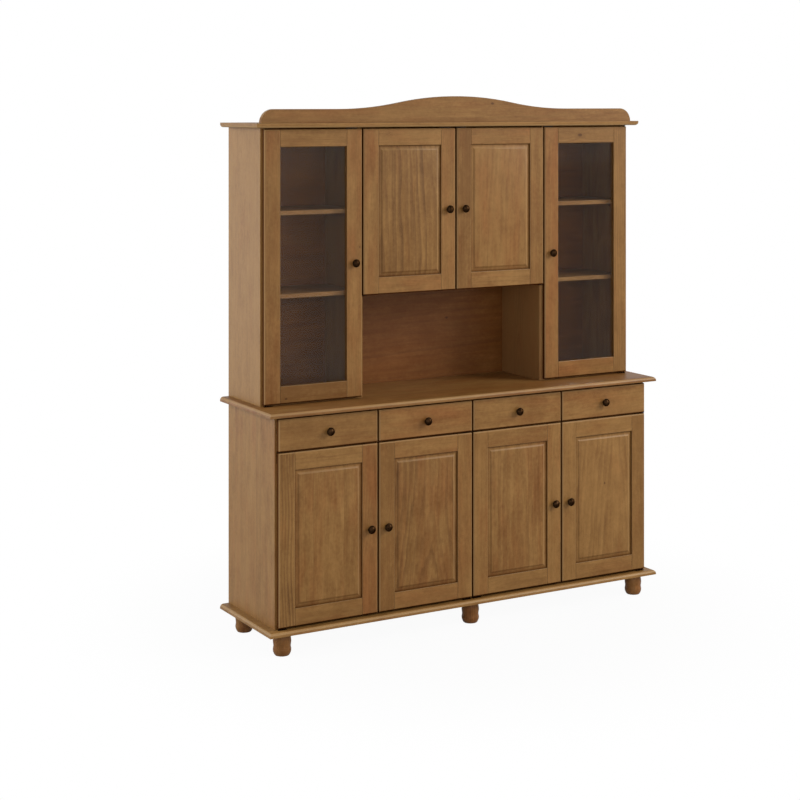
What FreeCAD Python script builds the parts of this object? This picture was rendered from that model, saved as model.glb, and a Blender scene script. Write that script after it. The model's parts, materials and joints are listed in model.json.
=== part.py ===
import FreeCAD, Part
import math
import os

# Two-part pine dresser: a base with four drawers over four doors, and a hutch with two
# glazed doors beside a short cupboard and an open niche. Millimetres, front towards -Y.

# Overall sizes
overall_height = 1970.0
worktop_width = 1689.0
worktop_depth = 430.0
worktop_overhang = 34.5
worktop_nose = 19.0
base_height = 860.0
hutch_face_depth = 293.0
cornice_end_inset = 0.5
cornice_nose = 24.0

# Boards
side_thickness = 18.0
divider_thickness = 18.0
floor_thickness = 18.0
shelf_thickness = 16.0
back_thickness = 6.0
back_setback = 1.0
back_rebate = 10.0
back_clearance = 0.3
worktop_thickness = 17.0
plinth_thickness = 17.0
cornice_thickness = 17.0
nosing_radius = 13.0
cornice_radius = 11.5

# Pediment
pediment_end_inset = 26.0
pediment_thickness = 18.0
pediment_setback = 20.0
pediment_end_height = 50.5
pediment_rise = 47.5
pediment_half_run = 500.0

# Feet
foot_height = 78.0
foot_radius = 32.5
foot_pad_radius = 26.0
foot_lower_swell = 18.0
foot_upper_swell = 52.0
foot_neck_radius = 25.0
foot_inset_side = 72.0
foot_inset_front = 56.0
foot_inset_back = 57.0
middle_foot_offset = 11.0

# Doors and drawers
door_thickness = 18.0
door_back_gap = 2.0
door_inset = 7.0
column_gap = 6.0
row_gap = 4.0
base_door_bottom_gap = 7.0
drawer_top_gap = 8.0
drawer_front_height = 115.0
hutch_top_gap = 5.0
glass_door_bottom_gap = 6.0
cupboard_door_height = 613.0
front_arris = 4.0
back_arris = 2.5
inner_arris = 1.5

# Door frames, panels and glass
frame_width = 64.0
groove_setback = 7.0
groove_width = 6.4
groove_depth = 9.0
tenon_clearance = 0.2
panel_clearance = 0.5
tongue_clearance = 0.2
panel_border = 22.0
panel_bevel_rise = 3.6
panel_step = 1.6
glass_lip = 8.0
glass_thickness = 4.0
glass_clearance = 0.2
glass_edge_clearance = 0.8
bead_width = 8.0

# Knobs
knob_radius = 15.0
knob_projection = 24.0
knob_neck_radius = 6.5
knob_neck_length = 10.0

# Pivot hinges
pivot_inset = 8.0
pivot_depth = 9.0
pin_radius = 2.5
pin_running_clearance = 0.05
pin_length = 9.0
plate_thickness = 2.0
plate_length = 34.0
plate_width = 9.0
plate_end = 6.0
bracket_gap = 1.0
bracket_leg_width = 9.0
bracket_leg_cover = 1.0
bracket_leg_height = 40.0
socket_height = 12.0
socket_bore_depth = 10.0
fit_clearance = 0.1

# Catches
magnet_width = 44.0
magnet_height = 20.0
magnet_depth = 14.0
magnet_gap = 0.3
strike_width = 36.0
strike_height = 10.0
strike_thickness = 1.0
strike_lift = 2.0

# Shelves
shelf_spacing = 300.0
shelf_setback = 11.0
base_shelf_setback = 32.0
shelf_side_clearance = 0.5
cupboard_floor_cover = 1.0
batten_width = 12.0
batten_height = 18.0
batten_front_setback = 20.0

# Drawer boxes
drawer_side_clearance = 1.5
drawer_run_clearance = 0.3
drawer_box_height = 100.0
drawer_box_length = 360.0
drawer_board = 12.0
drawer_bottom_thickness = 5.0
drawer_bottom_height = 9.0
drawer_groove_depth = 6.0
drawer_bottom_clearance = 0.2
glide_thickness = 1.0
glide_width = 8.0
glide_end = 15.0

# Derived levels, from the floor up
plinth_bottom = foot_height
plinth_top = plinth_bottom + plinth_thickness
worktop_bottom = base_height - worktop_thickness
cornice_top = overall_height - pediment_rise - pediment_end_height
cornice_bottom = cornice_top - cornice_thickness
drawer_front_top = worktop_bottom - drawer_top_gap
drawer_front_bottom = drawer_front_top - drawer_front_height
base_door_top = drawer_front_bottom - row_gap
base_door_bottom = plinth_top + base_door_bottom_gap
dust_board_bottom = base_door_top + row_gap / 2 - floor_thickness / 2
dust_board_top = dust_board_bottom + floor_thickness
hutch_door_top = cornice_bottom - hutch_top_gap
glass_door_bottom = base_height + glass_door_bottom_gap
cupboard_door_bottom = hutch_door_top - cupboard_door_height
cupboard_floor_bottom = cupboard_door_bottom + cupboard_floor_cover
cupboard_floor_top = cupboard_floor_bottom + floor_thickness
lower_shelf_top = cupboard_floor_top
upper_shelf_top = lower_shelf_top + shelf_spacing
base_shelf_top = (plinth_top + dust_board_bottom + shelf_thickness) / 2
base_bracket_top = base_door_top + bracket_gap + plate_thickness
cupboard_bracket_bottom = cupboard_door_bottom - bracket_gap - plate_thickness

# Derived depths, measured forward from the back of the carcass
base_face_depth = worktop_depth - worktop_nose
base_side_depth = base_face_depth - door_thickness - door_back_gap
hutch_side_depth = hutch_face_depth - door_thickness - door_back_gap
cornice_depth = hutch_face_depth + cornice_nose
inside_back = back_setback + back_thickness
back_y = (base_face_depth + knob_projection) / 2

# Derived widths
carcass_width = worktop_width - 2 * worktop_overhang
cornice_width = worktop_width - 2 * cornice_end_inset
half_carcass = carcass_width / 2
half_inside = half_carcass - side_thickness
half_divider = divider_thickness / 2
door_width = (carcass_width - 2 * door_inset - 3 * column_gap) / 4
column_pitch = door_width + column_gap
side_leg_middle = half_carcass - door_inset - bracket_leg_cover - bracket_leg_width / 2
column_starts = [column_gap / 2 + column * column_pitch for column in (-2, -1, 0, 1)]
match_tolerance = 0.001


def block(x0, x1, depth0, depth1, z0, z1):
    """A box from its limits across, its depths from the back plane and its levels."""
    xs = sorted((x0, x1))
    zs = sorted((z0, z1))
    corner = FreeCAD.Vector(xs[0], back_y - depth1, zs[0])
    return Part.makeBox(xs[1] - xs[0], depth1 - depth0, zs[1] - zs[0], corner)


def edges_on(shape, x=None, depth=None, z=None):
    """The edges that lie wholly at the given X, depth or level."""
    found = []
    for edge in shape.Edges:
        box = edge.BoundBox
        spans = []
        if x is not None:
            spans += [box.XMin - x, box.XMax - x]
        if depth is not None:
            spans += [box.YMin - back_y + depth, box.YMax - back_y + depth]
        if z is not None:
            spans += [box.ZMin - z, box.ZMax - z]
        if max(abs(span) for span in spans) < match_tolerance:
            found.append(edge)
    return found


def upright_cylinder(x, depth, z0, z1, radius):
    foot = FreeCAD.Vector(x, back_y - depth, min(z0, z1))
    return Part.makeCylinder(radius, abs(z1 - z0), foot, FreeCAD.Vector(0, 0, 1))


def turned(outline):
    """A solid turned about the Z axis from (radius, level) corners that start and end on it."""
    corners = [FreeCAD.Vector(radius, 0, level) for radius, level in outline]
    profile = Part.Face(Part.makePolygon(corners + corners[:1]))
    return profile.revolve(FreeCAD.Vector(0, 0, 0), FreeCAD.Vector(0, 0, 1), 360)


def save(name, solids):
    """Write one node: a solid, or a group of separate solids."""
    shape = solids[0] if len(solids) == 1 else Part.makeCompound(solids)
    shape.exportStep("parts/" + name + ".step")


# Feet: turned, full in the middle and drawn in to a pad below and a neck above
def make_feet():
    foot = turned([
        (0, 0), (foot_pad_radius, 0), (foot_radius, foot_lower_swell), (foot_radius, foot_upper_swell),
        (foot_neck_radius, foot_height), (0, foot_height),
    ])
    feet = []
    outer = worktop_width / 2 - foot_inset_side
    for x in (-outer, middle_foot_offset, outer):
        for depth in (worktop_depth - foot_inset_front, foot_inset_back):
            placed = foot.copy()
            placed.translate(FreeCAD.Vector(x, back_y - depth, 0))
            feet.append(placed)
    save("bun_feet", feet)


# Moulded boards: one face is rounded over on its left, front and right edges
def make_moulded_board(name, width, depth, bottom, top, rounded_level, radius):
    half = width / 2
    board = block(-half, half, 0, depth, bottom, top)
    rounded = edges_on(board, x=-half, z=rounded_level) + edges_on(board, x=half, z=rounded_level)
    rounded += edges_on(board, depth=depth, z=rounded_level)
    save(name, [board.makeFillet(radius, rounded)])


# Pediment: quarter-round ends, flat shoulders and a low arch that leaves them in hollow curves
def make_pediment():
    half = cornice_width / 2 - pediment_end_inset
    shoulder = cornice_top + pediment_end_height
    arch = (pediment_half_run ** 2 + pediment_rise ** 2) / (4 * pediment_rise)
    turn = math.asin(pediment_half_run / 2 / arch)
    face_y = back_y - cornice_depth + pediment_setback

    def point(x, z):
        return FreeCAD.Vector(x, face_y, z)

    def hollow(side, angle):
        across = pediment_half_run - arch * math.sin(angle)
        return point(side * across, shoulder + arch * (1 - math.cos(angle)))

    crown = point(0, overall_height)
    edges = [Part.Arc(hollow(-1, turn), crown, hollow(1, turn)).toShape()]
    lift = pediment_end_height * math.sin(math.pi / 4)
    for side in (-1, 1):
        edges.append(Part.Arc(hollow(side, 0), hollow(side, turn / 2), hollow(side, turn)).toShape())
        foot = point(side * half, cornice_top)
        middle = point(side * (half - pediment_end_height + lift), cornice_top + lift)
        top = point(side * (half - pediment_end_height), shoulder)
        edges.append(Part.Arc(foot, middle, top).toShape())
        edges.append(Part.makeLine(top, hollow(side, 0)))
    edges.append(Part.makeLine(point(-half, cornice_top), point(half, cornice_top)))
    outline = Part.Face(Part.Wire(Part.__sortEdges__(edges)))
    save("pediment", [outline.extrude(FreeCAD.Vector(0, pediment_thickness, 0))])


# Upright boards
def side_panel(side, depth, bottom, top):
    """An outer side, rebated along its inner rear edge for the back panel."""
    panel = block(side * half_inside, side * half_carcass, 0, depth, bottom, top)
    rebate = block(side * half_inside, side * (half_inside + back_rebate), 0, inside_back, bottom, top)
    return panel.cut(rebate)


def bracket_housing(middle, side_depth, level, rising):
    """The housing for the leg of an angle bracket in the front edge of an upright."""
    half = bracket_leg_width / 2 + fit_clearance
    return block(middle - half, middle + half, side_depth - plate_thickness - fit_clearance, side_depth,
                 level - rising * fit_clearance, level + rising * (bracket_leg_height + fit_clearance))


def make_sides():
    base = []
    hutch = []
    for side in (-1, 1):
        panel = side_panel(side, base_side_depth, plinth_top, worktop_bottom)
        housing = bracket_housing(side * side_leg_middle, base_side_depth, base_bracket_top, -1)
        base.append(panel.cut(housing))
        hutch.append(side_panel(side, hutch_side_depth, base_height, cornice_bottom))
    save("base_sides", base)
    save("hutch_sides", hutch)


def divider(middle, side_depth, bottom, top):
    return block(middle - half_divider, middle + half_divider, inside_back, side_depth, bottom, top)


def make_dividers():
    centre = divider(0, base_side_depth, plinth_top, worktop_bottom)
    base = [centre.cut(bracket_housing(0, base_side_depth, base_bracket_top, -1))]
    hutch = []
    for middle in (-column_pitch, column_pitch):
        base.append(divider(middle, base_side_depth, dust_board_top, worktop_bottom))
        panel = divider(middle, hutch_side_depth, base_height, cornice_bottom)
        hutch.append(panel.cut(bracket_housing(middle, hutch_side_depth, cupboard_bracket_bottom, 1)))
    save("base_dividers", base)
    save("hutch_dividers", hutch)


# Level boards
def make_floors():
    dust_boards = []
    for x0, x1 in ((-half_inside, -half_divider), (half_divider, half_inside)):
        dust_boards.append(block(x0, x1, inside_back, base_side_depth, dust_board_bottom, dust_board_top))
    save("dust_boards", dust_boards)
    floors = []
    for left, right, bottom in hutch_bays():
        floors.append(block(left, right, inside_back, hutch_side_depth, bottom, bottom + floor_thickness))
    save("hutch_floors", floors)


def hutch_bays():
    """The closed bays of the hutch: left and right face and the level of the floor's underside."""
    outer = column_pitch + half_divider
    inner = column_pitch - half_divider
    return [(-half_inside, -outer, base_height), (-inner, inner, cupboard_floor_bottom),
            (outer, half_inside, base_height)]


def shelf_places():
    """The loose shelves: left and right face of the bay, top level and depth of the front edge."""
    places = []
    for left, right, bottom in hutch_bays():
        for level in (lower_shelf_top, upper_shelf_top):
            if level > bottom + floor_thickness:
                places.append((left, right, level, hutch_side_depth - shelf_setback))
    for left, right in ((-half_inside, -half_divider), (half_divider, half_inside)):
        places.append((left, right, base_shelf_top, base_side_depth - base_shelf_setback))
    return places


def make_shelves():
    shelves = []
    battens = []
    for left, right, top, front in shelf_places():
        bottom = top - shelf_thickness
        shelves.append(block(left + shelf_side_clearance, right - shelf_side_clearance,
                             inside_back + back_clearance, front, bottom, top))
        for face, inward in ((left, 1), (right, -1)):
            battens.append(block(face, face + inward * batten_width, inside_back,
                                 front - batten_front_setback, bottom - batten_height, bottom))
    save("shelves", shelves)
    save("shelf_battens", battens)


def make_back_panels():
    half = half_inside + back_rebate
    save("back_panels", [block(-half, half, back_setback, inside_back, plinth_top, worktop_bottom),
                         block(-half, half, back_setback, inside_back, base_height, cornice_bottom)])


# Pivot hinges: a plate or an angle bracket on the carcass carries a pin, and the pin turns
# in a socket block that is let into the end of the door's hinge stile
def hinge_line(column, hinge_side):
    """X of the pivot, a little way in from the door's hinge edge."""
    start = column_starts[column]
    return start + pivot_inset if hinge_side < 0 else start + door_width - pivot_inset


def pivot_pin(x, face_depth, plate_level, door_level, rising):
    pin_end = door_level + rising * pin_length
    return upright_cylinder(x, face_depth - pivot_depth, plate_level, pin_end, pin_radius)


def flat_plate(x, inward, face_depth, board_level, door_level, rising):
    """A plate on a level board, with its pin towards the end of the door."""
    middle = face_depth - pivot_depth
    plate_level = board_level + rising * plate_thickness
    plate = block(x - inward * plate_end, x + inward * (plate_length - plate_end), middle - plate_width / 2,
                  middle + plate_width / 2, board_level, plate_level)
    return plate.fuse(pivot_pin(x, face_depth, plate_level, door_level, rising)).removeSplitter()


def angle_bracket(pins, middle, side_depth, face_depth, level, leg_rising, door_level):
    """A bracket with its leg let into an upright and an arm that holds one pin or two."""
    half_leg = bracket_leg_width / 2
    door_side = level + leg_rising * plate_thickness
    leg = block(middle - half_leg, middle + half_leg, side_depth - plate_thickness, side_depth,
                level, level + leg_rising * bracket_leg_height)
    arm = block(min(pins) - pivot_inset, max(pins) + pivot_inset, side_depth,
                face_depth - pivot_depth + plate_width / 2, level, door_side)
    arm_pins = [pivot_pin(x, face_depth, door_side, door_level, leg_rising) for x in pins]
    return leg.fuse([arm] + arm_pins).removeSplitter()


def make_pivot_plates():
    plates = []
    for name, column, hinge_side, bottom, top, side_depth, face_depth in door_table():
        x = hinge_line(column, hinge_side)
        if side_depth == base_side_depth:
            plates.append(flat_plate(x, -hinge_side, face_depth, plinth_top, bottom, 1))
        else:
            plates.append(flat_plate(x, -hinge_side, face_depth, cornice_bottom, top, -1))
        if bottom == glass_door_bottom:
            plates.append(flat_plate(x, -hinge_side, face_depth, base_height, bottom, 1))
        if bottom == cupboard_door_bottom:
            plates.append(angle_bracket([x], hinge_side * column_pitch, side_depth, face_depth,
                                        cupboard_bracket_bottom, 1, bottom))
    for pins, middle in (([hinge_line(0, -1)], -side_leg_middle), ([hinge_line(1, 1), hinge_line(2, -1)], 0),
                         ([hinge_line(3, 1)], side_leg_middle)):
        plates.append(angle_bracket(pins, middle, base_side_depth, base_face_depth, base_bracket_top, -1,
                                    base_door_top))
    save("pivot_plates", plates)


def socket_block(x, inward, face_depth, end_level, rising, grow):
    """The block let into a stile end, or its mortise when grown by the fitting clearance."""
    depth = face_depth - pivot_depth
    half = plate_width / 2 + grow
    return block(x - inward * (plate_end + grow), x + inward * (plate_length - plate_end + grow),
                 depth - half, depth + half, end_level, end_level + rising * (socket_height + grow))


def socket(x, inward, face_depth, end_level, rising):
    """A moulded socket: four flats hold the pin."""
    half = pin_radius + pin_running_clearance
    depth = face_depth - pivot_depth
    bore_end = end_level + rising * socket_bore_depth
    hole = block(x - half, x + half, depth - half, depth + half, end_level, bore_end)
    return socket_block(x, inward, face_depth, end_level, rising, 0).cut(hole)


# Magnetic catches behind the closing stiles, and the plates that they hold
def strike_middle(column, hinge_side):
    """X of the middle of the closing stile, where the catch and the knob are."""
    start = column_starts[column]
    return start + door_width - frame_width / 2 if hinge_side < 0 else start + frame_width / 2


def catch_bottom(side_depth):
    """Level of a catch that hangs under the board above the doors."""
    return (dust_board_bottom if side_depth == base_side_depth else cornice_bottom) - magnet_height


def make_magnet_catches():
    catches = []
    for name, column, hinge_side, bottom, top, side_depth, face_depth in door_table():
        middle = strike_middle(column, hinge_side)
        front = face_depth - door_thickness - strike_thickness - magnet_gap
        low = catch_bottom(side_depth)
        catches.append(block(middle - magnet_width / 2, middle + magnet_width / 2,
                             front - magnet_depth, front, low, low + magnet_height))
    save("magnet_catches", catches)


def strike_plate(middle, side_depth, face_depth):
    back = face_depth - door_thickness
    low = catch_bottom(side_depth) + strike_lift
    return block(middle - strike_width / 2, middle + strike_width / 2, back - strike_thickness, back,
                 low, low + strike_height)


# Knobs: turned, with a neck and a broad head
def knob_at(x, z, face_depth):
    knob = turned([
        (0, 0), (knob_neck_radius, 0), (knob_neck_radius, knob_neck_length), (knob_radius, knob_neck_length),
        (knob_radius, knob_projection), (0, knob_projection),
    ])
    knob.rotate(FreeCAD.Vector(0, 0, 0), FreeCAD.Vector(1, 0, 0), 90)
    knob.translate(FreeCAD.Vector(x, back_y - face_depth, z))
    return knob


# Doors
def door_table():
    """Each door: name, column, hinge side, bottom, top, depth of the uprights, depth of its face."""
    base = (base_door_bottom, base_door_top, base_side_depth, base_face_depth)
    tall = (glass_door_bottom, hutch_door_top, hutch_side_depth, hutch_face_depth)
    short = (cupboard_door_bottom, hutch_door_top, hutch_side_depth, hutch_face_depth)
    return [
        ("base_door_1", 0, -1) + base,
        ("base_door_2", 1, 1) + base,
        ("base_door_3", 2, -1) + base,
        ("base_door_4", 3, 1) + base,
        ("glass_door_left", 0, -1) + tall,
        ("cupboard_door_left", 1, -1) + short,
        ("cupboard_door_right", 2, 1) + short,
        ("glass_door_right", 3, 1) + tall,
    ]


def infill_housing(x0, x1, low, high, face_depth, glazed):
    """What is taken out of the frame for its infill: a panel groove, or a rebate for glass."""
    back = face_depth - door_thickness if glazed else face_depth - groove_setback - groove_width
    front = face_depth - glass_lip if glazed else face_depth - groove_setback
    return block(x0 - groove_depth, x1 + groove_depth, back, front, low, high)


def door_stile(x0, bottom, top, face_depth, outer_x, inner_x):
    stile = block(x0, x0 + frame_width, face_depth - door_thickness, face_depth, bottom, top)
    outside = edges_on(stile, x=outer_x, depth=face_depth)
    outside += edges_on(stile, depth=face_depth, z=bottom) + edges_on(stile, depth=face_depth, z=top)
    stile = stile.makeChamfer(front_arris, outside)
    stile = stile.makeChamfer(back_arris, edges_on(stile, x=outer_x, depth=face_depth - door_thickness))
    return stile.makeChamfer(inner_arris, edges_on(stile, x=inner_x, depth=face_depth))


def door_rail(x0, x1, outer_z, inner_z, face_depth, glazed):
    """A rail with a stub tenon at each end that fills the groove or rebate of the stile."""
    rail = block(x0, x1, face_depth - door_thickness, face_depth, outer_z, inner_z)
    rail = rail.makeChamfer(front_arris, edges_on(rail, depth=face_depth, z=outer_z))
    rail = rail.makeChamfer(inner_arris, edges_on(rail, depth=face_depth, z=inner_z))
    back = face_depth - door_thickness
    front = face_depth - glass_lip - tenon_clearance
    if not glazed:
        back = face_depth - groove_setback - groove_width + tenon_clearance
        front = face_depth - groove_setback - tenon_clearance
    reach = groove_depth - tenon_clearance
    return rail.fuse(block(x0 - reach, x1 + reach, back, front, outer_z, inner_z)).removeSplitter()


def raised_panel(x0, x1, low, high, face_depth):
    """A fielded panel: thin tongue all round, mitred bevels, a small step and the field."""
    reach = groove_depth - panel_clearance
    tongue_front = face_depth - groove_setback - tongue_clearance
    tongue_back = face_depth - groove_setback - groove_width + tongue_clearance
    tongue = block(x0 - reach, x1 + reach, tongue_back, tongue_front, low - reach, high + reach)
    half_width = (x1 - x0) / 2
    half_height = (high - low) / 2
    bevel = Part.makeWedge(-half_width, 0, -half_height, panel_border - half_height,
                           panel_border - half_width, half_width, panel_bevel_rise, half_height,
                           half_height - panel_border, half_width - panel_border)
    bevel.rotate(FreeCAD.Vector(0, 0, 0), FreeCAD.Vector(0, 0, 1), 180)
    bevel.translate(FreeCAD.Vector((x0 + x1) / 2, back_y - tongue_front, (low + high) / 2))
    field_front = tongue_front + panel_bevel_rise + panel_step
    field = block(x0 + panel_border, x1 - panel_border, tongue_back, field_front,
                  low + panel_border, high - panel_border)
    return tongue.fuse([bevel, field]).removeSplitter()


def glazing_beads(x0, x1, low, high, face_depth, glass_back):
    """Four mitred beads that hold the glass in its rebate from behind."""
    back = face_depth - door_thickness
    reach = groove_depth - glass_clearance
    outer = [(x0 - reach, low - reach), (x1 + reach, low - reach), (x1 + reach, high + reach),
             (x0 - reach, high + reach)]
    shrink = reach - bead_width
    inner = [(x0 - shrink, low - shrink), (x1 + shrink, low - shrink), (x1 + shrink, high + shrink),
             (x0 - shrink, high + shrink)]
    beads = []
    for first, second in ((0, 1), (1, 2), (2, 3), (3, 0)):
        corners = [outer[first], outer[second], inner[second], inner[first]]
        points = [FreeCAD.Vector(x, back_y - glass_back, z) for x, z in corners]
        face = Part.Face(Part.makePolygon(points + points[:1]))
        beads.append(face.extrude(FreeCAD.Vector(0, glass_back - back, 0)))
    return beads


def make_door(name, column, hinge_side, bottom, top, side_depth, face_depth):
    glazed = name.startswith("glass")
    x0 = column_starts[column]
    x1 = x0 + door_width
    inner0 = x0 + frame_width
    inner1 = x1 - frame_width
    low = bottom + frame_width
    high = top - frame_width
    pivot_x = hinge_line(column, hinge_side)
    knob_x = strike_middle(column, hinge_side)

    stile_housing = infill_housing(inner0, inner1, bottom, top, face_depth, glazed)
    rail_housing = infill_housing(inner0, inner1, low - groove_depth, high + groove_depth,
                                  face_depth, glazed)
    frame = []
    for start, outer_x, inner_x in ((x0, x0, inner0), (inner1, x1, inner1)):
        stile = door_stile(start, bottom, top, face_depth, outer_x, inner_x).cut(stile_housing)
        for level, rising in ((bottom, 1), (top, -1)):
            stile = stile.cut(socket_block(pivot_x, -hinge_side, face_depth, level, rising, fit_clearance))
        frame.append(stile)
    for outer_z, inner_z in ((bottom, low), (top, high)):
        frame.append(door_rail(inner0, inner1, outer_z, inner_z, face_depth, glazed).cut(rail_housing))

    if glazed:
        glass_front = face_depth - glass_lip - glass_clearance
        glass_back = glass_front - glass_thickness
        reach = groove_depth - glass_edge_clearance
        glass = block(inner0 - reach, inner1 + reach, glass_back, glass_front, low - reach, high + reach)
        save(name + "_glass", [glass])
        frame += glazing_beads(inner0, inner1, low, high, face_depth, glass_back - glass_clearance)
    else:
        save(name + "_panel", [raised_panel(inner0, inner1, low, high, face_depth)])
    save(name + "_frame", frame)

    fittings = [knob_at(knob_x, (bottom + top) / 2, face_depth),
                strike_plate(knob_x, side_depth, face_depth)]
    for level, rising in ((bottom, 1), (top, -1)):
        fittings.append(socket(pivot_x, -hinge_side, face_depth, level, rising))
    save(name + "_fittings", fittings)


# Drawers
def drawer_openings():
    """Left and right limits of the four drawer openings."""
    limits = [-half_inside]
    for middle in (-column_pitch, 0, column_pitch):
        limits += [middle - half_divider, middle + half_divider]
    limits.append(half_inside)
    return list(zip(limits[0::2], limits[1::2]))


def make_drawer(name, column, opening):
    x0 = column_starts[column]
    x1 = x0 + door_width
    face = block(x0, x1, base_face_depth - door_thickness, base_face_depth,
                 drawer_front_bottom, drawer_front_top)
    save(name + "_front", [face.makeChamfer(front_arris, edges_on(face, depth=base_face_depth))])

    left = opening[0] + drawer_side_clearance
    right = opening[1] - drawer_side_clearance
    front = base_face_depth - door_thickness
    back = front - drawer_box_length
    bottom = dust_board_top + drawer_run_clearance + glide_thickness
    save(name + "_box", drawer_box(left, right, back, front, bottom, bottom + drawer_box_height))

    knob = knob_at((x0 + x1) / 2, (drawer_front_bottom + drawer_front_top) / 2, base_face_depth)
    inset = (drawer_board - glide_width) / 2
    glides = [block(x, x + glide_width, back + glide_end, base_side_depth - glide_end,
                    bottom - glide_thickness, bottom)
              for x in (left + inset, right - inset - glide_width)]
    save(name + "_fittings", [knob] + glides)


def drawer_box(left, right, back, front, bottom, top):
    """Two sides, an inner front, a back and a bottom that is held in a groove all round."""
    inner_left = left + drawer_board
    inner_right = right - drawer_board
    inner_front = front - drawer_board
    inner_back = back + drawer_board
    floor = bottom + drawer_bottom_height
    floor_top = floor + drawer_bottom_thickness
    groove = block(inner_left - drawer_groove_depth, inner_right + drawer_groove_depth,
                   inner_back - drawer_groove_depth, inner_front + drawer_groove_depth,
                   floor - drawer_bottom_clearance, floor_top + drawer_bottom_clearance)
    boards = [
        block(left, inner_left, back, front, bottom, top),
        block(inner_right, right, back, front, bottom, top),
        block(inner_left, inner_right, inner_front, front, bottom, top),
        block(inner_left, inner_right, back, inner_back, bottom, top),
    ]
    boards = [board.cut(groove) for board in boards]
    reach = drawer_groove_depth - drawer_bottom_clearance
    boards.append(block(inner_left - reach, inner_right + reach, inner_back - reach, inner_front + reach,
                        floor, floor_top))
    return boards


os.makedirs("parts", exist_ok=True)
make_feet()
make_moulded_board("plinth_board", worktop_width, worktop_depth, plinth_bottom, plinth_top,
                   plinth_top, nosing_radius)
make_moulded_board("worktop", worktop_width, worktop_depth, worktop_bottom, base_height,
                   base_height, nosing_radius)
make_moulded_board("cornice_board", cornice_width, cornice_depth, cornice_bottom, cornice_top,
                   cornice_bottom, cornice_radius)
make_pediment()
make_sides()
make_dividers()
make_floors()
make_shelves()
make_back_panels()
make_pivot_plates()
make_magnet_catches()
for row in door_table():
    make_door(*row)
for column, opening in enumerate(drawer_openings()):
    make_drawer("drawer_%d" % (column + 1), column, opening)
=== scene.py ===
import json
import math
import random

import bmesh
import bpy
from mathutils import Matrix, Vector

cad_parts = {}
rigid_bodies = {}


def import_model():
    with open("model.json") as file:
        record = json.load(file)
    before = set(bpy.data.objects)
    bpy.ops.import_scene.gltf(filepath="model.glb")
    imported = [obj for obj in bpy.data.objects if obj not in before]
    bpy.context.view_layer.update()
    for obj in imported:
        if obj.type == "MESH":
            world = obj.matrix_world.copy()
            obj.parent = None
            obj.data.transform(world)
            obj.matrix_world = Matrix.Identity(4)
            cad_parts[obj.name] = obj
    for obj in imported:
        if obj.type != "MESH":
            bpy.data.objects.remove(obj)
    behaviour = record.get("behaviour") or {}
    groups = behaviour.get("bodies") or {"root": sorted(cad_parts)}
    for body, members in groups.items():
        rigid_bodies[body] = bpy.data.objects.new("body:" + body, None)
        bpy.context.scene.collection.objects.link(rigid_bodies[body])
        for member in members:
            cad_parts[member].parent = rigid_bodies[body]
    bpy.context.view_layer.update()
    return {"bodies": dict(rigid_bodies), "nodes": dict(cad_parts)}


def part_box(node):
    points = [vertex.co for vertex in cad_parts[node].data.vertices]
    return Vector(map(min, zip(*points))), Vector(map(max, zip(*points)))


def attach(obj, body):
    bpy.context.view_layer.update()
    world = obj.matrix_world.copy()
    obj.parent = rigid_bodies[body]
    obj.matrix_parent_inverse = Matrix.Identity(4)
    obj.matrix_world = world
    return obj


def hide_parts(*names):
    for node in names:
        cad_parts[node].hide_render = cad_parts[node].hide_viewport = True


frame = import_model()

chance = random.Random(31)
print("frame loaded")


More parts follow.
